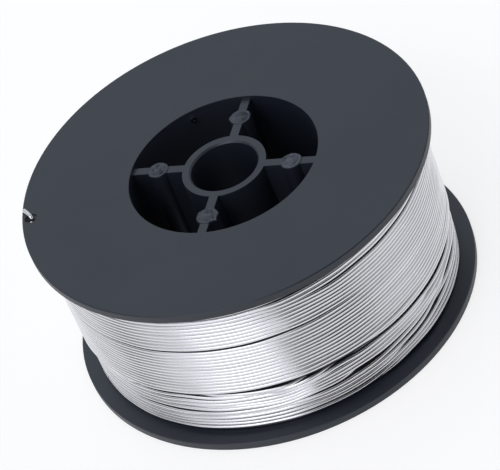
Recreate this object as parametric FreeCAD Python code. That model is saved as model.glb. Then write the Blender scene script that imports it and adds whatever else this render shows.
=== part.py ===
import FreeCAD, Part
import math
import os

# A small spool of moulded black plastic, wound full with bright welding wire.
# It lies on one flange: +Z is the spool's axis, and the origin is the middle of the bottom face.
# The four ribs lie along X and Y. The two moulded halves are alike, meet half way up the barrel
# and are pressed together by pins in the four columns of the ribs. Lengths are in millimetres.

# Spool, outside
flange_diameter = 100.0
spool_width = 45.0
flange_thickness = 2.1
rim_chamfer = 0.2
root_chamfer = 0.4

# Barrel, hub and ribs
barrel_diameter = 50.6
barrel_wall = 2.0
bore_diameter = 16.5
bore_chamfer = 0.4
hub_wall = 2.1
hub_recess = 0.9
rib_count = 4
rib_thickness = 2.2
column_diameter = 5.2
column_pitch_radius = 16.85

# Pins that hold the halves together
pin_diameter = 3.0
pin_length = 6.0
pin_tip_chamfer = 0.4
pin_clearance = 0.05
socket_relief = 0.5

# Wire and its winding
wire_diameter = 1.0
winding_depth = 21.8
winding_clearance = 0.1
turn_pitch = 1.04
layer_depth = 0.9
low_turns = 13
open_gaps = (27, 34)
gap_depth = 1.4

# Holes that the two ends of the wire go through
tail_hole_diameter = 3.0
tail_hole_land = 0.75
tail_hole_angle = 198.0
start_hole_diameter = 1.6
start_hole_angle = 124.5

# Outer end of the wire: it rises through its hole and lies across the rim
tail_rise_offset = 0.65
tail_end_angle = 193.5
tail_end_margin = 0.2
tail_bend_radius = 0.8
tail_lift = 0.05

# Inner end of the wire: it stands a little out of the barrel's inner wall
start_stand_out = 0.6

flange_radius = flange_diameter / 2
barrel_radius = barrel_diameter / 2
barrel_inner_radius = barrel_radius - barrel_wall
bore_radius = bore_diameter / 2
hub_radius = bore_radius + hub_wall
half_width = spool_width / 2
wire_radius = wire_diameter / 2
winding_bottom = flange_thickness + winding_clearance
winding_top = spool_width - winding_bottom
winding_radius = barrel_radius + winding_depth
coil_bore_radius = barrel_radius + winding_clearance
tail_hole_radius = flange_radius - tail_hole_land - tail_hole_diameter / 2

Z = FreeCAD.Vector(0, 0, 1)
ORIGIN = FreeCAD.Vector(0, 0, 0)


def polar(radius, angle, z):
    turn = math.radians(angle)
    return FreeCAD.Vector(radius * math.cos(turn), radius * math.sin(turn), z)


def cylinder(radius, start, end):
    return Part.makeCylinder(radius, (end - start).Length, start, end - start)


def turned(edges):
    """Solid of revolution about Z of a closed outline in the XZ plane."""
    return Part.Face(Part.Wire(edges)).revolve(ORIGIN, Z, 360)


def outline(points):
    """Straight edges through (radius, z) points, closed at the end."""
    corners = [FreeCAD.Vector(radius, 0, z) for radius, z in points]
    return [Part.LineSegment(a, b).toShape() for a, b in zip(corners, corners[1:] + corners[:1])]


def flange_and_barrel():
    """Flange with its outer face at Z = 0, and half of the barrel rising from it."""
    return turned(outline([
        (barrel_inner_radius, 0),
        (flange_radius - rim_chamfer, 0),
        (flange_radius, rim_chamfer),
        (flange_radius, flange_thickness - rim_chamfer),
        (flange_radius - rim_chamfer, flange_thickness),
        (barrel_radius + root_chamfer, flange_thickness),
        (barrel_radius, flange_thickness + root_chamfer),
        (barrel_radius, half_width),
        (barrel_inner_radius, half_width),
    ]))


def hub():
    """Half of the hub tube, recessed below the flange's face, its bore eased at the mouth."""
    return turned(outline([
        (bore_radius + bore_chamfer, hub_recess),
        (hub_radius, hub_recess),
        (hub_radius, half_width),
        (bore_radius, half_width),
        (bore_radius, hub_recess + bore_chamfer),
    ]))


def rib_angles():
    return [360.0 / rib_count * step for step in range(rib_count)]


def rib(angle):
    """One rib with its column, from the hub tube to the barrel."""
    inner = (bore_radius + hub_radius) / 2
    outer = (barrel_inner_radius + barrel_radius) / 2
    height = half_width - hub_recess
    web = Part.makeBox(outer - inner, rib_thickness, height,
                       FreeCAD.Vector(inner, -rib_thickness / 2, hub_recess))
    column = cylinder(column_diameter / 2,
                      FreeCAD.Vector(column_pitch_radius, 0, hub_recess),
                      FreeCAD.Vector(column_pitch_radius, 0, half_width))
    piece = web.fuse(column)
    piece.rotate(ORIGIN, Z, angle)
    return piece


def spool_half():
    """The moulding that both halves share, standing on its flange."""
    ribs = [rib(angle) for angle in rib_angles()]
    return flange_and_barrel().fuse([hub()] + ribs).removeSplitter()


def pin(angle):
    """Pin on the end of a column, across the parting plane into the other half's socket."""
    radius = pin_diameter / 2
    tip = half_width + pin_length
    root = half_width - pin_length / 2
    shank = turned(outline([
        (0, root),
        (radius, root),
        (radius, tip - pin_tip_chamfer),
        (radius - pin_tip_chamfer, tip),
        (0, tip),
    ]))
    shank.translate(FreeCAD.Vector(column_pitch_radius, 0, 0))
    shank.rotate(ORIGIN, Z, angle)
    return shank


def socket(angle):
    """Blind hole for a pin, cut into a column of the upper half."""
    return cylinder(pin_diameter / 2 + pin_clearance,
                    polar(column_pitch_radius, angle, half_width),
                    polar(column_pitch_radius, angle, half_width + pin_length + socket_relief))


def start_hole_height():
    """The wire starts against the upper flange, so its hole lies just below that flange."""
    return spool_width - flange_thickness - start_hole_diameter / 2


def lower_half():
    return spool_half().fuse([pin(angle) for angle in rib_angles()])


def upper_half():
    body = spool_half()
    body.rotate(ORIGIN, FreeCAD.Vector(1, 0, 0), 180)
    body.translate(FreeCAD.Vector(0, 0, spool_width))
    tail_hole = cylinder(tail_hole_diameter / 2,
                         polar(tail_hole_radius, tail_hole_angle, winding_top),
                         polar(tail_hole_radius, tail_hole_angle, spool_width + flange_thickness))
    start_hole = cylinder(start_hole_diameter / 2,
                          polar(barrel_inner_radius - barrel_wall, start_hole_angle, start_hole_height()),
                          polar(barrel_radius + barrel_wall, start_hole_angle, start_hole_height()))
    return body.cut([socket(angle) for angle in rib_angles()] + [tail_hole, start_hole])


def winding():
    """The wound wire as one turned body with its bore. The last layer leaves the low turns beside
    the lower flange bare, and its turns have drawn apart at the open gaps."""
    turns = round((winding_top - winding_bottom) / turn_pitch)
    pitch = (winding_top - winding_bottom) / turns
    step_height = winding_bottom + low_turns * pitch
    surface = [
        (winding_radius - layer_depth, winding_bottom),
        (winding_radius - layer_depth, step_height - layer_depth),
        (winding_radius, step_height),
    ]
    for turn in open_gaps:
        middle = winding_bottom + turn * pitch
        surface.append((winding_radius, middle - pitch / 2))
        surface.append((winding_radius - gap_depth, middle))
        surface.append((winding_radius, middle + pitch / 2))
    surface.append((winding_radius, winding_top))
    bore = [
        (coil_bore_radius + wire_radius, winding_top),
        (coil_bore_radius, winding_top - wire_radius),
        (coil_bore_radius, winding_bottom + wire_radius),
        (coil_bore_radius + wire_radius, winding_bottom),
    ]
    return turned(outline(surface + bore))


def bent_wire(points, bend_radius):
    """Round wire along straight runs that are joined by tangent arcs."""
    edges = []
    start = points[0]
    for before, corner, after in zip(points, points[1:], points[2:]):
        back = (before - corner).normalize()
        ahead = (after - corner).normalize()
        half_angle = back.getAngle(ahead) / 2
        setback = bend_radius / math.tan(half_angle)
        middle = corner + (back + ahead).normalize() * (bend_radius / math.sin(half_angle) - bend_radius)
        enter = corner + back * setback
        leave = corner + ahead * setback
        edges.append(Part.LineSegment(start, enter).toShape())
        edges.append(Part.Arc(enter, middle, leave).toShape())
        start = leave
    edges.append(Part.LineSegment(start, points[-1]).toShape())
    section = Part.Wire(Part.Circle(points[0], points[1] - points[0], wire_radius).toShape())
    return Part.Wire(edges).makePipeShell([section], True, False)


def tail():
    """Outer end of the wire: out of the winding, up through its hole and across the face to the rim."""
    rise_radius = tail_hole_radius - tail_rise_offset
    winding_height = winding_top - wire_diameter
    lying_height = spool_width + tail_lift + wire_radius
    return bent_wire([
        polar(barrel_radius + winding_depth / 2, tail_hole_angle, winding_height),
        polar(rise_radius, tail_hole_angle, winding_height),
        polar(rise_radius, tail_hole_angle, lying_height),
        polar(flange_radius - tail_end_margin, tail_end_angle, lying_height),
    ], tail_bend_radius)


def start():
    """Inner end of the wire, through its hole in the barrel."""
    return cylinder(wire_radius,
                    polar(barrel_inner_radius - start_stand_out, start_hole_angle, start_hole_height()),
                    polar(coil_bore_radius + wire_diameter, start_hole_angle, start_hole_height()))


def wire_coil():
    return winding().fuse([tail(), start()])


nodes = {
    "lower_spool_half": lower_half(),
    "upper_spool_half": upper_half(),
    "wire_coil": wire_coil(),
}

os.makedirs("parts", exist_ok=True)
for name, shape in nodes.items():
    solids = shape.Solids
    if len(solids) != 1 or not shape.isValid():
        raise ValueError("%s has %d solids, valid %s" % (name, len(solids), shape.isValid()))
    solids[0].exportStep("parts/%s.step" % name)
    print(name, "volume %.2f cm3" % (solids[0].Volume / 1000))
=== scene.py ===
import math

import bpy
import numpy as np
from mathutils import Matrix, Vector

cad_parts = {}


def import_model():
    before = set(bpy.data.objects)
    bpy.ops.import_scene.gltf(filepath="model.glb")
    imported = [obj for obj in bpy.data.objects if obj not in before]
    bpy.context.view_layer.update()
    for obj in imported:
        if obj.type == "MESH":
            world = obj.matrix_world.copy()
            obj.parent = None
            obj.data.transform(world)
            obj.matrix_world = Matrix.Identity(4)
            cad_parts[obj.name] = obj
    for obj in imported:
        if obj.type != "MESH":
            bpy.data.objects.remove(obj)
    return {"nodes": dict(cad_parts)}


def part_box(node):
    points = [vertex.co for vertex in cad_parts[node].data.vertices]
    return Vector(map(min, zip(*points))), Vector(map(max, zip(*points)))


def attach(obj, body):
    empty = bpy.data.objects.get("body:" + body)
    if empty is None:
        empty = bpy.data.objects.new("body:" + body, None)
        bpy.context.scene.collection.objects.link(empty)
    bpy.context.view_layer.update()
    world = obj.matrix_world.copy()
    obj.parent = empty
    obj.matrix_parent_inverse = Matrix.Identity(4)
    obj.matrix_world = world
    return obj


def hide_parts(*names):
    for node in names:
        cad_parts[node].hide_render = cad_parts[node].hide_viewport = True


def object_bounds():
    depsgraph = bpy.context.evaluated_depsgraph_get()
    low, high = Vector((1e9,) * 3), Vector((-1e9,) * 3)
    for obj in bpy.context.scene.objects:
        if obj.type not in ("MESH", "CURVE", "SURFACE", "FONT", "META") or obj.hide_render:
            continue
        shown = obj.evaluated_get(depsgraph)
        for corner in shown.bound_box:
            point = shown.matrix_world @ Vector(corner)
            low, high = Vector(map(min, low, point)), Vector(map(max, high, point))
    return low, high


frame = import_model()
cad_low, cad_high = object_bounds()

# A small black plastic spool wound full with bright welding wire, lying on one flange.
# Lengths are in metres where nothing else is said. A polar angle is measured from +X about the
# spool's axis, in degrees. A bearing is the same angle counted from the side that faces the
# camera, and grows to the camera's right.

MM = 0.001

# The spool and its winding, from the frame
SPOOL_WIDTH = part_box("upper_spool_half")[1].z
coil_low, coil_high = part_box("wire_coil")
WINDING_BOTTOM = coil_low.z
WINDING_TOP = SPOOL_WIDTH - WINDING_BOTTOM
WINDING_RADIUS = coil_high.x

# The winding's bore, and the columns of the ribs, whose ends lie a little below the spool's face
COIL_BORE_RADIUS = 25.4 * MM
COLUMN_RADIUS = 2.6 * MM
COLUMN_PITCH_RADIUS = 16.85 * MM
COLUMN_END_HEIGHT = SPOOL_WIDTH - 0.9 * MM

# The wire, how deep one of its layers lies below the next, and where its outer end leaves
WIRE_RADIUS = 0.5 * MM
LAYER_DEPTH = 0.87 * MM
TAIL_POLAR = 198.0

# The photograph's camera
CAMERA_PLACE = Vector((0.25655, -0.47250, 0.47073))
CAMERA_TARGET = Vector((-0.00056, -0.00030, 0.02144))
CAMERA_ROLL = math.radians(-22.724)
CAMERA_LENS = 210.6
CAMERA_POLAR = -61.5


# Shape of the winding

# A turn begins and ends at this bearing, behind the spool
TURN_START_BEARING = -180.0

# The last layer has this many whole turns, and then the part of a turn that leads to the hole in
# the flange. Its lowest turns lie one layer deeper.
LAST_TURN = 38
TAIL_FRACTION = ((TAIL_POLAR - CAMERA_POLAR - TURN_START_BEARING) % 360) / 360
LOW_TURNS = 13

# Points that the wire's centre line has in each turn, and for each stop on the way of an end
SAMPLES_PER_TURN = 240
SAMPLES_PER_STOP = 8

OUTER_RADIUS = WINDING_RADIUS - WIRE_RADIUS
FIRST_HEIGHT = WINDING_BOTTOM + WIRE_RADIUS
LAST_HEIGHT = WINDING_TOP - WIRE_RADIUS

# The wire comes up from the layer below over this share of the first turn
CLIMB = 0.09

# Turn counts of the last layer, and the heights that the wire has there
PACED_TURNS = (0, 14.46, 26.46, 31.46, 35.96, LAST_TURN + TAIL_FRACTION)
PACED_HEIGHTS = (FIRST_HEIGHT, 17.37 * MM, 29.60 * MM, 34.86 * MM, 39.82 * MM, LAST_HEIGHT)

# Where the last layer has drawn apart: the turn below the gap, the bearings where it begins to
# open, is open, begins to close and is closed, its width, and how many turns on each side give way
GAPS = [
    (26, (-92, -62, 0, 30), 0.50 * MM, 10),
    (35, (-55, -36, -8, -2), 0.20 * MM, 4),
    (35, (-8, -1, 16, 27), 0.50 * MM, 4),
    (33, (0, 16, 85, 120), 0.62 * MM, 7),
    (34, (-2, 6, 14, 24), 0.15 * MM, 3),
]

# Heights in millimetres of the lowest fifteen turns, which lie loose, where they pass these bearings
LOOSE_HEIGHTS = {
    -62: (2.7, 3.6, 4.6, 5.65, 6.7, 7.38, 8.22, 9.75, 10.6, 11.1, 11.95, 12.9, 14.4, 16.2, 17.2),
    -50: (2.7, 3.6, 4.64, 5.7, 6.75, 7.35, 8.2, 9.86, 10.6, 11.1, 12.15, 13.5, 14.3, 16.3, 17.3),
    -40: (2.7, 3.65, 4.73, 5.67, 6.71, 7.4, 8.15, 9.9, 10.6, 11.3, 12.55, 14, 14.2, 16.38, 17.4),
    -30: (2.7, 3.6, 4.7, 5.7, 6.85, 7.5, 8.3, 9.64, 10.45, 11.2, 12.3, 13.5, 14.1, 16.45, 17.48),
    -22: (2.7, 3.6, 4.65, 5.73, 6.87, 7.6, 8.35, 9.6, 10.4, 11.25, 12.37, 13.35, 14.15, 16.4, 17.42),
    -14: (2.7, 3.55, 4.6, 5.7, 6.82, 7.55, 8.3, 9.4, 10.2, 11.3, 12.45, 13.3, 13.85, 16.35, 17.37),
    -8: (2.7, 3.5, 4.62, 5.7, 6.8, 7.5, 8.4, 9.3, 10.12, 11.1, 12, 12.85, 13.6, 16.3, 17.32),
    0: (2.7, 3.45, 4.7, 5.62, 6.75, 7.5, 8.9, 9.8, 10.65, 11.5, 12.3, 13.5, 13.9, 16.3, 17.35),
    8: (2.7, 3.46, 4.78, 5.58, 6.72, 7.54, 9.1, 9.92, 10.82, 11.8, 13.2, 13.6, 14.3, 16.43, 17.47),
    16: (2.7, 3.55, 4.87, 5.65, 6.8, 7.8, 9.3, 10.05, 11.05, 12.05, 13.1, 13.6, 15.05, 16.45, 17.52),
    24: (3.05, 4.05, 5.1, 5.6, 6.9, 8.25, 9.1, 9.95, 11, 12.1, 13.15, 13.5, 15.25, 16.45, 17.65),
    32: (3.25, 4.2, 5.3, 5.9, 7.1, 8.6, 9.2, 9.95, 11.1, 12.2, 13, 13.6, 15.38, 16.45, 17.7),
    40: (3.2, 4.3, 5.5, 6.05, 7.4, 9, 9.4, 9.95, 11, 12.05, 12.75, 13.6, 15.38, 16.5, 17.75),
    48: (3, 4.3, 5.7, 6.7, 7.95, 9.7, 9.7, 10, 11, 11.75, 12.3, 13.6, 15.4, 16.5, 17.7),
    60: (2.8, 4.35, 6, 7.4, 8.5, 10.8, 9.9, 10.3, 10.95, 11.4, 11.85, 13.6, 15.25, 16.45, 17.6),
    72: (2.7, 4, 5.6, 6.9, 7.9, 10.2, 9.4, 9.6, 10.7, 11.7, 12.1, 13.2, 15.05, 16.3, 17.4),
    92: (2.7, 3.7, 5, 6.1, 7.2, 8.2, 9.2, 10.2, 11.2, 12.2, 13.2, 14.2, 15.3, 16.4, 17.5),
}

# How far in millimetres the low turns stand out of their layer there, or sink into it below zero
LOOSE_LIFTS = {
    -62: (-0.3, 0, 0, 0, 0, -0.3, 0, 0, -0.4, 0, 0, 0, 0.35),
    -50: (-0.5, 0, 0, 0, 0, -0.4, 0, 0, -0.6, 0, 0, 0, -1),
    -40: (-0.7, 0, 0, 0, 0, -0.4, 0, 0, -0.6, 0, 0, 0, -1.3),
    -30: (-0.7, 0, 0, 0, 0, -0.4, 0, 0, -0.2, 0, 0, 0, -0.5),
    -22: (-0.7, 0, 0, 0, 0, -0.3, 0, 0, 0, 0, 0, 0, 0),
    -14: (-0.6, 0, 0, 0, 0, -0.3, 0, 0, 0, 0, 0, -0.4, 0),
    -8: (-0.6, 0, 0, 0, 0, -0.2, 0, 0, 0, 0, 0, 0, 0),
    0: (-0.7, 0, 0, 0, 0, 0, 0, 0, 0, 0, 0, 0, -1.1),
    8: (-0.7, 0, 0, 0, 0, 0, 0, 0, 0, 0, 0, -1.1, -1),
    16: (-0.7, 0, 0, 0, 0, 0, -1.1, 0, 0, 0, 0, -1, -0.4),
    24: (-0.25, 0, 0, -0.35, 0, 0, -1.2, 0, 0, 0, 0, -0.95, 0.35),
    32: (-0.1, 0, 0, -0.9, 0, 0, -1.2, 0, 0, 0, 0, -1.2, 0.55),
    40: (0, 0, 0, -1, 0, 0.05, -1.2, 0, 0, 0, 0, -1.3, 0.65),
    48: (0, 0, 0, -0.9, -0.3, 0.15, -1.2, 0, 0, -0.7, 0, -1.3, 0.7),
    60: (0, 0, 0, 0, -0.8, 0.4, -1.2, -0.6, 0, -1.2, 0, -1.3, 0.7),
    72: (0, 0, 0, 0, -0.9, 0.35, -1, -0.6, 0, -0.9, 0, -0.7, 0.75),
    92: (0, 0, 0, 0, 0, 0, 0, 0, 0, 0, 0, 0, 0.87),
}

# Bearings between which the loosened turns leave the even winding, and between which they return
LOOSE_START = (-170, -100)
LOOSE_END = (110, 170)

# How much the turns above those lean up and down round the spool, in millimetres, and the number
# of turns below the upper flange over which that fades
LEAN_BEARINGS = (-180, -50, -30, -14, 40, 180)
LEAN_HEIGHTS = (0, 0.02, 0.08, 0, 0.22, 0)
LEAN_FADE = 6

# Small waves of the wire: their size outwards and upwards, how often each comes in a turn where
# the wire makes it by itself, and how often and how slanted where all turns share it
WANDER_OUT = 0.014 * MM
WANDER_UP = 0.012 * MM
OWN_WAVES = (0.7, 1.3, 2.9, 4.7, 7.3, 11.9, 17.3)
SHARED_WAVES = ((5, 0.35), (9, -0.5), (14, 0.8), (23, 0.3))
WAVE_SEED = 7


def smooth(low, high, x):
    """0 below low, 1 above high, with an eased rise between."""
    t = np.clip((x - low) / (high - low), 0, 1)
    return t * t * (3 - 2 * t)


def curve(knots, values, slopes, x):
    """Cubic curve through values at knots, with these slopes there, held still outside them."""
    i = np.clip(np.searchsorted(knots, x) - 1, 0, len(knots) - 2)
    step = knots[i + 1] - knots[i]
    t = np.clip((x - knots[i]) / step, 0, 1)
    if values.ndim == 2:
        step = step[:, None]
        t = t[:, None]
    rise = t * t * (3 - 2 * t)
    bend = t * (1 - t) * step * ((1 - t) * slopes[i] - t * slopes[i + 1])
    return (1 - rise) * values[i] + rise * values[i + 1] + bend


def through(knots, values, x):
    """Smooth curve through values at knots, level at both ends."""
    knots = np.asarray(knots, float)
    values = np.asarray(values, float)
    slopes = np.gradient(values, knots)
    slopes[[0, -1]] = 0
    return curve(knots, values, slopes, x)


def around_axis(radius, polar, height):
    """Points at these distances from the spool's axis, polar angles and heights."""
    angle = np.radians(polar)
    return np.stack([radius * np.cos(angle), radius * np.sin(angle), height], 1)


def travelled(points):
    """Length of the way through points, up to each of them."""
    return np.r_[0, np.cumsum(np.linalg.norm(np.diff(points, axis=0), axis=1))]


def gap_shift(turn, bearing):
    """How far the open gaps push a turn of the last layer up or down at a bearing."""
    shift = np.zeros_like(bearing)
    for below, (opens, opened, closes, closed), width, reach in GAPS:
        share = np.clip((turn - (below + 0.5 - reach)) / (2 * reach), 0, 1)
        open_here = smooth(opens, opened, bearing) * (1 - smooth(closes, closed, bearing))
        shift += width * open_here * ((turn > below) - share)
    return shift


def wander(turns, bearing, size, rng):
    """Small waves of the wire, partly its own and partly over what it crosses underneath."""
    own = sum(rng.normal(0, size) * np.sin(2 * np.pi * turns * often + rng.uniform(0, 6.3))
              for often in OWN_WAVES)
    angle = np.radians(bearing)
    shared = sum(rng.normal(0, size) * np.sin(angle * often + turns * slant + rng.uniform(0, 6.3))
                 for often, slant in SHARED_WAVES)
    return own + shared


def wound_wire(rng):
    """Centre line of the last layer, from the lower flange up to the wire's outer end."""
    last = LAST_TURN + TAIL_FRACTION
    turns = np.linspace(0, last, int(round(last * SAMPLES_PER_TURN)) + 1)
    turn = np.floor(turns)
    bearing = TURN_START_BEARING + 360 * (turns - turn)
    lean = through(LEAN_BEARINGS, LEAN_HEIGHTS, bearing) * MM
    lean *= np.clip((LAST_TURN - turns) / LEAN_FADE, 0, 1)
    height = np.interp(turns, PACED_TURNS, PACED_HEIGHTS) + gap_shift(turn, bearing) + lean
    radius = OUTER_RADIUS - LAYER_DEPTH * (1 - smooth(0, CLIMB, turns))

    knots = tuple(LOOSE_HEIGHTS)
    for k, heights in enumerate(zip(*LOOSE_HEIGHTS.values())):
        here = turn == k
        at = bearing[here]
        loose = smooth(*LOOSE_START, at) * (1 - smooth(*LOOSE_END, at))
        height[here] += (through(knots, heights, at) * MM - height[here]) * loose
    for k, lifts in enumerate(zip(*LOOSE_LIFTS.values())):
        here = turn == k
        at = bearing[here]
        radius[here] += through(knots, lifts, at) * MM * smooth(*LOOSE_START, at) - LAYER_DEPTH

    radius += wander(turns, bearing, WANDER_OUT, rng)
    height += wander(turns, bearing, WANDER_UP, rng)
    return around_axis(radius, bearing + CAMERA_POLAR, height)


def route(stops):
    """Smooth way through stops of radius and height in millimetres and polar angle in degrees."""
    radius, polar, height = np.array(stops).T
    corners = around_axis(radius, polar, height)
    reach = travelled(corners)
    at = np.linspace(0, reach[-1], SAMPLES_PER_STOP * len(stops))
    return curve(reach, corners, np.gradient(corners, reach, axis=0), at) * MM


# Meshes

# A wire's section has this share of its corners within this angle of the wire's right hand side
FACING_SHARE = 0.75
FACING_ANGLE = 108

# A way that comes closer to upright than this sine gets its sides carried along it
UPRIGHT = 0.2

# Sides of the wire that shows and of the wire under it, and segments of the body inside that
WIRE_SIDES = 16
UNDER_SIDES = 8
INNER_SEGMENTS = 160


def link(name, verts, faces, material, uvs=None):
    """Smooth-shaded mesh object in the scene."""
    mesh = bpy.data.meshes.new(name)
    mesh.from_pydata(verts.tolist(), [], faces)
    mesh.polygons.foreach_set("use_smooth", [True] * len(mesh.polygons))
    if uvs is not None:
        layer = mesh.uv_layers.new(name="UVMap")
        layer.data.foreach_set("uv", np.asarray(uvs, np.float32).ravel())
    mesh.validate()
    piece = bpy.data.objects.new(name, mesh)
    bpy.context.scene.collection.objects.link(piece)
    mesh.materials.append(material)
    return piece


def carried_sides(tangent):
    """Side directions carried along a path that may turn any way."""
    side = np.zeros_like(tangent)
    current = np.cross(tangent[0], (0.0, 0.0, 1.0))
    if np.linalg.norm(current) < UPRIGHT:
        current = np.cross(tangent[0], (1.0, 0.0, 0.0))
    for i, direction in enumerate(tangent):
        current = current - direction * (current @ direction)
        current /= np.linalg.norm(current)
        side[i] = current
    return side


def tube(name, points, sides, material):
    """Wire along points, closed by flat ends. Most of its sides are on its right hand, which is the
    outer side of the last layer. UV holds the length along it and the turn round it."""
    count = len(points)
    tangent = np.gradient(points, axis=0)
    tangent /= np.linalg.norm(tangent, axis=1)[:, None]
    side = np.cross(tangent, (0.0, 0.0, 1.0))
    if np.linalg.norm(side, axis=1).min() < UPRIGHT:
        side = carried_sides(tangent)
    side /= np.linalg.norm(side, axis=1)[:, None]
    other = np.cross(side, tangent)
    facing = int(round(sides * FACING_SHARE))
    around = np.radians(np.r_[np.linspace(-FACING_ANGLE, FACING_ANGLE, facing),
                              np.linspace(FACING_ANGLE, 360 - FACING_ANGLE, sides - facing + 2)[1:-1]])
    ring = side[:, None, :] * np.cos(around)[None, :, None]
    ring = ring + other[:, None, :] * np.sin(around)[None, :, None]
    verts = (points[:, None, :] + ring * WIRE_RADIUS).reshape(-1, 3)

    i = np.arange(count - 1)[:, None] * sides
    j = np.arange(sides)[None, :]
    k = (j + 1) % sides
    faces = np.stack([i + j, i + sides + j, i + sides + k, i + k], -1).reshape(-1, 4)
    caps = [list(range(sides)), list(range((count - 1) * sides, count * sides))[::-1]]

    along = travelled(points)[:, None]
    shape = (count - 1, sides)
    u0 = np.broadcast_to(along[:-1], shape)
    u1 = np.broadcast_to(along[1:], shape)
    v0 = np.broadcast_to(j / sides, shape)
    v1 = np.broadcast_to((j + 1) / sides, shape)
    uvs = np.stack([u0, v0, u1, v0, u1, v1, u0, v1], -1).reshape(-1, 2)
    cap_uvs = np.zeros((2 * sides, 2))

    piece = link(name, verts, faces.tolist() + caps, material, np.r_[uvs, cap_uvs])
    for edge in piece.data.edges:
        first, last = sorted(edge.vertices)
        edge.use_edge_sharp = last < sides or first >= (count - 1) * sides
    return piece


def turned(name, outline, segments, material):
    """Closed body of revolution of a closed outline of (radius, height) points."""
    radius, height = np.array(outline, float).T
    n = len(outline)
    polar = np.linspace(0, 360, segments, endpoint=False)
    verts = around_axis(np.tile(radius, segments), np.repeat(polar, n), np.tile(height, segments))
    faces = []
    for s in range(segments):
        a, b = s * n, (s + 1) % segments * n
        for i in range(n):
            j = (i + 1) % n
            faces.append((a + i, b + i, b + j, a + j))
    return link(name, verts, faces, material)


# Materials

# Painted shade on wound wire: its colour is at its darkest this deep below the last layer's centre line,
# with this share of its brightness, and unshaded from the second depth outwards
SHADED_DEPTH = 1.75 * MM
SHADED_SHARE = 0.06
UNSHADED_DEPTH = 0.95 * MM


class Nodes:
    """Short hand for building a node tree."""

    def __init__(self, tree):
        self.tree = tree

    def add(self, kind, **values):
        """New node with these settings and input values."""
        node = self.tree.nodes.new(kind)
        for key, value in values.items():
            if hasattr(node, key):
                setattr(node, key, value)
            else:
                node.inputs[key.replace("_", " ")].default_value = value
        return node

    def join(self, output, socket):
        """Link from an output to an input."""
        self.tree.links.new(output, socket)

    def noise(self, vector, **values):
        """Noise over a vector."""
        node = self.add("ShaderNodeTexNoise", **values)
        self.join(vector, node.inputs["Vector"])
        return node.outputs["Fac"]

    def spread(self, value, low, high, to_low, to_high):
        """A value's range from low to high carried over to another range."""
        node = self.add("ShaderNodeMapRange", From_Min=low, From_Max=high, To_Min=to_low, To_Max=to_high)
        self.join(value, node.inputs["Value"])
        return node.outputs["Result"]

    def bump(self, height, normal, strength, distance):
        """A normal tilted by a height."""
        node = self.add("ShaderNodeBump", Strength=strength, Distance=distance)
        self.join(height, node.inputs["Height"])
        self.join(normal, node.inputs["Normal"])
        return node.outputs["Normal"]


def new_material(name):
    """Material, its nodes and its shader's inputs."""
    material = bpy.data.materials.new(name)
    material.use_nodes = True
    tree = material.node_tree
    return material, Nodes(tree), tree.nodes["Principled BSDF"].inputs


def plastic(name, colour, roughness, grain_height):
    """Moulded plastic: a fine grain, a slow sink in its faces, scuffs, and softened edges."""
    material, n, shader = new_material(name)
    shader["Base Color"].default_value = colour + (1,)
    shader["IOR"].default_value = 1.6
    shader["Specular Tint"].default_value = (0.93, 0.97, 1.0, 1)
    place = n.add("ShaderNodeTexCoord").outputs["Object"]
    scuffs = n.noise(place, Scale=55.0, Detail=6.0, Roughness=0.65)
    n.join(n.spread(scuffs, 0.35, 0.65, roughness - 0.025, roughness + 0.025), shader["Roughness"])
    edges = n.add("ShaderNodeBevel", samples=4, Radius=0.22 * MM).outputs["Normal"]
    sink = n.noise(place, Scale=38.0, Detail=1.0)
    waves = n.bump(sink, edges, 0.25, 0.15 * MM)
    grain = n.noise(place, Scale=2600.0, Detail=3.0)
    n.join(n.bump(grain, waves, 0.15, grain_height), shader["Normal"])
    return material


def stretched(n, vector, scale):
    """A vector scaled along each axis."""
    node = n.add("ShaderNodeMapping")
    node.inputs["Scale"].default_value = scale
    n.join(vector, node.inputs["Vector"])
    return node.outputs["Vector"]


def bright_wire(name, wound):
    """Drawn aluminium: fine lines along the wire, and a sheen that changes a little along and across
    it. Wound wire has painted shade where it sinks between its neighbours: its colour darkens there."""
    material, n, shader = new_material(name)
    shader["Metallic"].default_value = 1.0
    place = n.add("ShaderNodeTexCoord").outputs
    lines = n.noise(stretched(n, place["UV"], (60.0, 18.0, 1.0)), Scale=1.0, Detail=3.0, Roughness=0.6)
    n.join(n.spread(lines, 0.3, 0.7, 0.11, 0.21), shader["Roughness"])
    patches = n.noise(stretched(n, place["UV"], (22.0, 0.7, 1.0)), Scale=1.0, Detail=4.0, Roughness=0.55)
    tone = n.add("ShaderNodeValToRGB")
    dull, bright = tone.color_ramp.elements
    dull.position = 0.3
    dull.color = (0.67, 0.67, 0.69, 1)
    bright.position = 0.7
    bright.color = (0.79, 0.79, 0.81, 1)
    n.join(patches, tone.inputs["Fac"])
    if not wound:
        n.join(tone.outputs["Color"], shader["Base Color"])
        return material
    # Painted shade: the colour of wound wire darkens with its depth into the winding
    flat = n.add("ShaderNodeVectorMath", operation="MULTIPLY")
    flat.inputs[1].default_value = (1, 1, 0)
    n.join(place["Object"], flat.inputs[0])
    reach = n.add("ShaderNodeVectorMath", operation="LENGTH")
    n.join(flat.outputs["Vector"], reach.inputs[0])
    unshaded = n.spread(reach.outputs["Value"], OUTER_RADIUS - SHADED_DEPTH, OUTER_RADIUS - UNSHADED_DEPTH,
                     SHADED_SHARE, 1.0)
    shade = n.add("ShaderNodeVectorMath", operation="SCALE")
    n.join(tone.outputs["Color"], shade.inputs[0])
    n.join(unshaded, shade.inputs["Scale"])
    n.join(shade.outputs["Vector"], shader["Base Color"])
    return material


def shaded_inner_wire():
    """The layers below the last one, in painted shade: the same wire coloured near black."""
    material, _, shader = new_material("shaded_inner_wire")
    # Painted shade: a near-black colour stands for the shade inside the winding
    shader["Base Color"].default_value = (0.05, 0.05, 0.055, 1)
    shader["Metallic"].default_value = 1.0
    shader["Roughness"].default_value = 0.4
    return material


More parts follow.
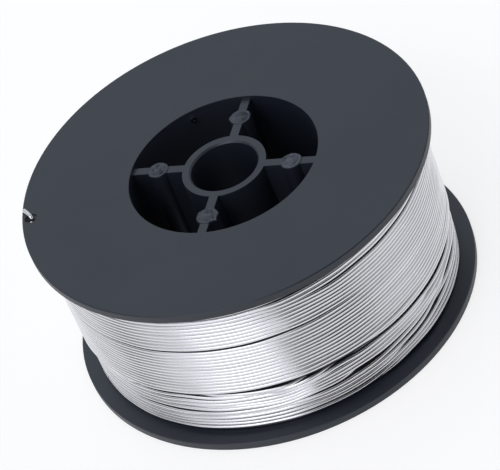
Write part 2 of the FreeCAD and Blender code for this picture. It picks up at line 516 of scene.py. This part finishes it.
PLASTIC = plastic("spool_plastic", (0.0095, 0.0135, 0.0235), 0.45, 0.04 * MM)
MELTED = plastic("melted_plastic", (0.016, 0.021, 0.034), 0.36, 0.12 * MM)
# Lighter plastic: a painted highlight on one column end
HIGHLIT_PLASTIC = plastic("painted_highlight_plastic", (0.040, 0.048, 0.066), 0.34, 0.16 * MM)
WIRE = bright_wire("bright_wire", wound=True)
END_WIRE = bright_wire("bright_wire_end", wound=False)
SHADED_INNER_WIRE = shaded_inner_wire()


# The spool halves keep their own shape and take the plastic

for half in ("lower_spool_half", "upper_spool_half"):
    mesh = frame["nodes"][half].data
    mesh.materials.clear()
    mesh.materials.append(PLASTIC)


# Column ends

# The columns' end faces are a little melted: the polar angle of each, how far its edge has run
# out, the height of the ring of beads along the edge, how many beads, a burr's length, and its
# plastic, which is lighter on one as a painted highlight
MELTED_ENDS = {
    "right": (0.0, 0.06 * MM, 0.30 * MM, 17, 0.0, HIGHLIT_PLASTIC),
    "far": (90.0, 0.10 * MM, 0.10 * MM, 9, 0.0, MELTED),
    "left": (180.0, 0.06 * MM, 0.18 * MM, 7, 0.0, MELTED),
    "near": (270.0, 0.08 * MM, 0.16 * MM, 8, 0.9 * MM, MELTED),
}

# On the underside the beads have this share of their height, and there are this many more
UNDERSIDE_SHARE = 0.7
UNDERSIDE_BEADS = 2

# The cap on each end: the radii of its rings and of the crest of the beads, and the crest's
# spread, as shares of the cap's radius, how thick and how rough it is, and how far its rim sinks
# into the column
CAP_SEGMENTS = 96
CAP_RINGS = np.array([0, 0.25, 0.5, 0.7, 0.8, 0.86, 0.92, 0.97, 1.0])
BEAD_CREST = 0.88
BEAD_SPREAD = 0.07
CAP_THICKNESS = 0.05 * MM
CAP_ROUGHNESS = 0.012 * MM
CAP_SINK = 0.03 * MM

# Waves round the cap's edge, and waves across and round its face
EDGE_WAVES = (2, 3, 5, 8, 13)
FACE_WAVES = ((3, 1), (7, 2), (12, 3), (5, 5), (16, 1))

# Where a burr points, and its spread, in degrees
BURR_TURN = 60
BURR_SPREAD = 9


def melted_end(name, polar, spread, bead_height, beads, burr, material, rng, over):
    """Closed cap of melted plastic on a column's end, on the top face or under the bottom one."""
    angle = np.linspace(0, 2 * np.pi, CAP_SEGMENTS, endpoint=False)
    rings = CAP_RINGS[:, None]
    run = sum(rng.normal(0, 0.5) * np.sin(angle * often + rng.uniform(0, 6.3))
              for often in EDGE_WAVES)
    drops = np.abs(np.sin(angle * beads / 2 + 0.5 * np.sin(angle * 2)))
    edge = COLUMN_RADIUS + spread * (run + drops - 0.3)
    edge += burr * np.exp(-((np.degrees(angle) - BURR_TURN) / BURR_SPREAD) ** 2)
    crown = np.exp(-((rings - BEAD_CREST) / BEAD_SPREAD) ** 2) * bead_height * (0.35 + 0.65 * drops)
    rough = sum(rng.normal(0, CAP_ROUGHNESS) * np.sin(rings * a + angle * b + rng.uniform(0, 6.3))
                for a, b in FACE_WAVES)
    lift = CAP_THICKNESS + crown + rough * (rings > 0)
    lift[-1] = -CAP_SINK
    if over:
        height = COLUMN_END_HEIGHT + lift
    else:
        height = SPOOL_WIDTH - COLUMN_END_HEIGHT - lift

    x = COLUMN_PITCH_RADIUS + rings * edge * np.cos(angle)
    y = rings * edge * np.sin(angle)
    turn = math.radians(polar)
    across = x * math.cos(turn) - y * math.sin(turn)
    deep = x * math.sin(turn) + y * math.cos(turn)
    verts = np.stack([across, deep, height], -1).reshape(-1, 3)

    rim = (len(CAP_RINGS) - 1) * CAP_SEGMENTS
    faces = []
    for inner in range(0, rim, CAP_SEGMENTS):
        outer = inner + CAP_SEGMENTS
        for j in range(CAP_SEGMENTS):
            k = (j + 1) % CAP_SEGMENTS
            faces.append((inner + j, outer + j, outer + k, inner + k))
    faces.append(list(range(rim, rim + CAP_SEGMENTS))[::-1])
    if not over:
        faces = [face[::-1] for face in faces]
    piece = link(name, verts, faces, material)
    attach(piece, "root")


for end, (polar, spread, bead_height, beads, burr, material) in MELTED_ENDS.items():
    rng = np.random.default_rng(beads)
    melted_end("upper_column_end_" + end, polar, spread, bead_height, beads, burr, material,
               rng, True)
    melted_end("lower_column_end_" + end, polar, spread, bead_height * UNDERSIDE_SHARE,
               beads + UNDERSIDE_BEADS, 0.0, MELTED, rng, False)


# The wire

# Ways of the wire's two ends, as radius in millimetres, polar angle and height in millimetres: the
# outer one up through its hole and across the rim, the inner one out of the barrel's wall
OUTER_END = [
    (46.60, 194.5, 42.30),
    (46.65, 196.4, 42.36),
    (46.95, 197.4, 42.75),
    (47.35, 197.9, 43.60),
    (47.50, 197.9, 44.45),
    (47.72, 197.5, 45.15),
    (48.15, 196.6, 45.42),
    (48.70, 195.6, 45.46),
    (49.30, 194.6, 45.46),
]
INNER_END = [
    (25.90, 126.0, 42.20),
    (25.00, 124.9, 42.12),
    (24.00, 124.5, 42.10),
    (23.00, 124.5, 42.16),
    (22.45, 124.6, 42.22),
]

# Under the low turns the layer below lies deeper too: it comes up to its place between these
# heights, and the layers inside it step up at this one
UNDER_STEP = (15.0 * MM, 16.5 * MM)
INNER_STEP = 15.5 * MM


def under_turns():
    """Centre line of the layer below the last one, wound the other way round."""
    turns = np.linspace(0.5, LAST_TURN - 0.5, (LAST_TURN - 1) * SAMPLES_PER_TURN // 2)
    height = np.interp(turns, (0, LAST_TURN), (FIRST_HEIGHT, LAST_HEIGHT))
    deeper = LAYER_DEPTH * (1 - smooth(*UNDER_STEP, height))
    return around_axis(OUTER_RADIUS - LAYER_DEPTH - deeper, CAMERA_POLAR - 360 * turns, height)


def inner_layers():
    """All layers inside that one as a single body with the spool's bore."""
    rim = OUTER_RADIUS - 1.5 * LAYER_DEPTH
    outline = [
        (COIL_BORE_RADIUS, WINDING_BOTTOM),
        (rim - LAYER_DEPTH, WINDING_BOTTOM),
        (rim - LAYER_DEPTH, INNER_STEP),
        (rim, INNER_STEP),
        (rim, WINDING_TOP),
        (COIL_BORE_RADIUS, WINDING_TOP),
    ]
    return turned("wire_inner_layers", outline, INNER_SEGMENTS, SHADED_INNER_WIRE)


points = wound_wire(np.random.default_rng(WAVE_SEED))
split = LOW_TURNS * SAMPLES_PER_TURN
wire_pieces = [
    tube("wire_loose_turns", points[:split + 1], WIRE_SIDES, WIRE),
    tube("wire_middle_turns", points[split:2 * split + 1], WIRE_SIDES, WIRE),
    tube("wire_upper_turns", points[2 * split:], WIRE_SIDES, WIRE),
    tube("wire_under_turns", under_turns(), UNDER_SIDES, SHADED_INNER_WIRE),
    inner_layers(),
    tube("wire_outer_end", route(OUTER_END), WIRE_SIDES, END_WIRE),
    tube("wire_inner_end", route(INNER_END), WIRE_SIDES, END_WIRE),
]
for piece in wire_pieces:
    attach(piece, "root")
    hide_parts("wire_coil")


# Stage, light and camera

# How far the floor goes each way
FLOOR_REACH = 6.0


def floor():
    """Pale floor that keeps the spool's shadow, and looks near white to the camera and in gloss."""
    material, n, shader = new_material("floor")
    shader["Base Color"].default_value = (0.36, 0.36, 0.36, 1)
    shader["Roughness"].default_value = 1.0
    shader["Specular IOR Level"].default_value = 0.0
    path = n.add("ShaderNodeLightPath")
    seen = n.add("ShaderNodeMath", operation="MAXIMUM")
    n.join(path.outputs["Is Camera Ray"], seen.inputs[0])
    n.join(path.outputs["Is Glossy Ray"], seen.inputs[1])
    level = n.add("ShaderNodeMath", operation="MULTIPLY")
    level.inputs[1].default_value = 0.74
    n.join(seen.outputs["Value"], level.inputs[0])
    glow = n.add("ShaderNodeEmission")
    n.join(level.outputs["Value"], glow.inputs["Strength"])
    both = n.add("ShaderNodeAddShader")
    n.join(n.tree.nodes["Principled BSDF"].outputs["BSDF"], both.inputs[0])
    n.join(glow.outputs["Emission"], both.inputs[1])
    n.join(both.outputs["Shader"], n.tree.nodes["Material Output"].inputs["Surface"])
    corners = ((-1, -1), (1, -1), (1, 1), (-1, 1))
    verts = np.array([(x * FLOOR_REACH, y * FLOOR_REACH, cad_low.z) for x, y in corners])
    link("studio_floor", verts, [(0, 1, 2, 3)], material)


# Brightness of the studio round the spool, by bearing, at four heights: near the horizon, a third
# of the way up, two thirds up and overhead
HORIZON = [(-180, 0.74), (-118, 0.62), (-102, 0.40), (-90, 0.06), (-79, 0.34), (-66, 0.72), (-47, 1.26),
           (-18, 1.36), (-9, 0.90), (-2, 0.06), (8, 0.15), (30, 0.28), (48, 0.44), (75, 0.58),
           (90, 0.52), (130, 0.50), (180, 0.74)]
LOWER_WALL = [(-180, 0.87), (-120, 0.62), (-102, 0.47), (-90, 0.29), (-75, 0.72), (-60, 0.96), (-42, 1.28),
              (-20, 1.22), (-9, 0.70), (-1, 0.12), (15, 0.08), (30, 0.02), (40, 0.20), (50, 0.54),
              (75, 0.64), (90, 0.50), (130, 0.52), (180, 0.84)]
UPPER_WALL = [(-180, 0.98), (-105, 0.82), (-75, 0.94), (-45, 1.16), (-30, 0.98), (-12, 0.68), (0, 0.27),
              (15, 0.13), (30, 0.02), (45, 0.02), (58, 0.08), (72, 0.37), (105, 0.42), (130, 0.46),
              (180, 0.87)]
CEILING = [(-180, 0.78), (-150, 0.90), (-90, 0.98), (-45, 0.92), (-15, 0.78), (0, 0.54), (20, 0.26),
           (60, 0.16), (80, 0.13), (105, 0.20), (135, 0.32), (180, 0.78)]

# A long lamp among them, between 41 and 56 degrees of height
LAMP = [(-180, 0), (-78, 0), (-52, 2.6), (-38, 4.6), (-24, 3.0), (-4, 0), (180, 0)]
DARK = [(-180, 0), (180, 0)]

# Heights on a unit sphere between which one of these lights passes into the next
HORIZON_TO_LOWER_WALL = (0.17, 0.47)
LOWER_TO_UPPER_WALL = (0.57, 0.85)
UPPER_WALL_TO_CEILING = (0.88, 0.975)
DARK_TO_LAMP = (0.65, 0.72)
LAMP_TO_DARK = (0.76, 0.83)

# The light's tint, and its tint behind the spool, beyond this bearing on either side
FRONT_TINT = (0.97, 0.98, 1.045)
BACK_TINT = (0.93, 1.00, 1.10)
BACK_BEARING = 140


def world():
    """Studio light from all round, white where the camera sees it."""
    made = bpy.data.worlds.new("studio")
    bpy.context.scene.world = made
    made.use_nodes = True
    n = Nodes(made.node_tree)
    direction = n.add("ShaderNodeTexCoord")
    seen_from = n.add("ShaderNodeVectorRotate", rotation_type="Z_AXIS", Angle=math.radians(-CAMERA_POLAR))
    n.join(direction.outputs["Generated"], seen_from.inputs["Vector"])
    parts = n.add("ShaderNodeSeparateXYZ")
    n.join(seen_from.outputs["Vector"], parts.inputs["Vector"])
    bearing = n.add("ShaderNodeMath", operation="ARCTAN2")
    n.join(parts.outputs["Y"], bearing.inputs[0])
    n.join(parts.outputs["X"], bearing.inputs[1])
    fraction = n.spread(bearing.outputs["Value"], -math.pi, math.pi, 0.0, 1.0)

    def band(stops):
        """Light by bearing alone."""
        ramp = n.add("ShaderNodeValToRGB")
        ramp.color_ramp.interpolation = "EASE"
        points = ramp.color_ramp.elements
        for at, level in stops[1:-1]:
            points.new(at / 360 + 0.5)
        for point, (at, level) in zip(points, stops):
            point.position = at / 360 + 0.5
            tint = BACK_TINT if abs(at) > BACK_BEARING else FRONT_TINT
            point.color = [level * share for share in tint] + [1]
        n.join(fraction, ramp.inputs["Fac"])
        return ramp.outputs["Color"]

    def blend(heights, below, above):
        """One light below these heights and another above them."""
        share = n.spread(parts.outputs["Z"], *heights, 0.0, 1.0)
        share.node.interpolation_type = "SMOOTHSTEP"
        mix = n.add("ShaderNodeMix", data_type="RGBA")
        n.join(share, mix.inputs["Factor"])
        n.join(below, mix.inputs["A"])
        n.join(above, mix.inputs["B"])
        return mix.outputs["Result"]

    low = blend(HORIZON_TO_LOWER_WALL, band(HORIZON), band(LOWER_WALL))
    high = blend(UPPER_WALL_TO_CEILING, band(UPPER_WALL), band(CEILING))
    room = blend(LOWER_TO_UPPER_WALL, low, high)
    dark = band(DARK)
    lamp = blend(DARK_TO_LAMP, dark, blend(LAMP_TO_DARK, band(LAMP), dark))
    lit = n.add("ShaderNodeVectorMath", operation="ADD")
    n.join(room, lit.inputs[0])
    n.join(lamp, lit.inputs[1])
    path = n.add("ShaderNodeLightPath")
    seen = n.add("ShaderNodeMix", data_type="RGBA")
    n.join(path.outputs["Is Camera Ray"], seen.inputs["Factor"])
    n.join(lit.outputs["Vector"], seen.inputs["A"])
    seen.inputs["B"].default_value = (1, 1, 1, 1)
    background = n.tree.nodes["Background"].inputs
    n.join(seen.outputs["Result"], background["Color"])
    background["Strength"].default_value = 1.0


def camera():
    """The photograph's view."""
    data = bpy.data.cameras.new("photo_camera")
    data.sensor_width = 36.0
    data.lens = CAMERA_LENS
    data.clip_start = 0.01
    piece = bpy.data.objects.new("photo_camera", data)
    bpy.context.scene.collection.objects.link(piece)
    look = (CAMERA_TARGET - CAMERA_PLACE).to_track_quat("-Z", "Y").to_matrix()
    rolled = look @ Matrix.Rotation(CAMERA_ROLL, 3, "Z")
    piece.matrix_world = Matrix.Translation(CAMERA_PLACE) @ rolled.to_4x4()
    bpy.context.scene.camera = piece


floor()
world()
camera()
bpy.context.scene.view_settings.view_transform = "Standard"
